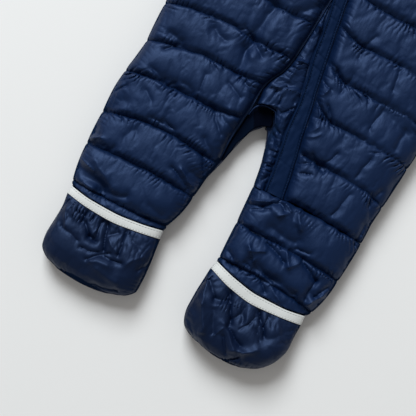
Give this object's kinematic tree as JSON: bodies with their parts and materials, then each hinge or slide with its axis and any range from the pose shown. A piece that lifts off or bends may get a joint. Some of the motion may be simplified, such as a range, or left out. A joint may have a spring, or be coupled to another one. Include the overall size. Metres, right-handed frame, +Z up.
{
  "type": "baby snowsuit",
  "caption": "Padded one-piece baby snowsuit with closed feet, cross quilting, a diagonal zip under a flap and a stand collar, lying flat on its back.",
  "frame": {"origin": "centre of the garment's bounding box on the surface it lies on", "axes": "+Y towards the collar, +Z up out of the garment's front, +X towards the wearer's left"},
  "size_m": [0.5972, 0.648, 0.036],
  "materials": {
    "navy_shell": "shiny down-proof nylon, cross quilted",
    "navy_foot": "shiny nylon, gathered, not quilted",
    "navy_flap": "smooth nylon zip flap, less shiny",
    "navy_gusset": "plain nylon turned down at the crotch",
    "navy_cuff": "nylon gathered on elastic",
    "pale_tape": "pale grey reflective woven tape",
    "zip_tape": "dark woven zip tape with closed coil teeth"
  },
  "bodies": {
    "root": {"front_right": "navy_shell", "front_left_outer": "navy_shell", "front_left_inner": "navy_shell", "front_left_lower": "navy_shell", "back_right": "navy_shell", "back_left": "navy_shell", "crotch_gusset": "navy_gusset", "zip_flap": "navy_flap", "zip_strip": "zip_tape", "foot_top_right": "navy_foot", "foot_top_left": "navy_foot", "foot_sole_right": "navy_foot", "foot_sole_left": "navy_foot", "ankle_tape_right": "pale_tape", "ankle_tape_left": "pale_tape", "sleeve_top_right": "navy_shell", "sleeve_top_left": "navy_shell", "sleeve_under_right": "navy_shell", "sleeve_under_left": "navy_shell", "cuff_right": "navy_cuff", "cuff_left": "navy_cuff", "collar_back": "navy_shell", "collar_front_right": "navy_shell", "collar_front_left": "navy_shell"}
  },
  "joints": []
}
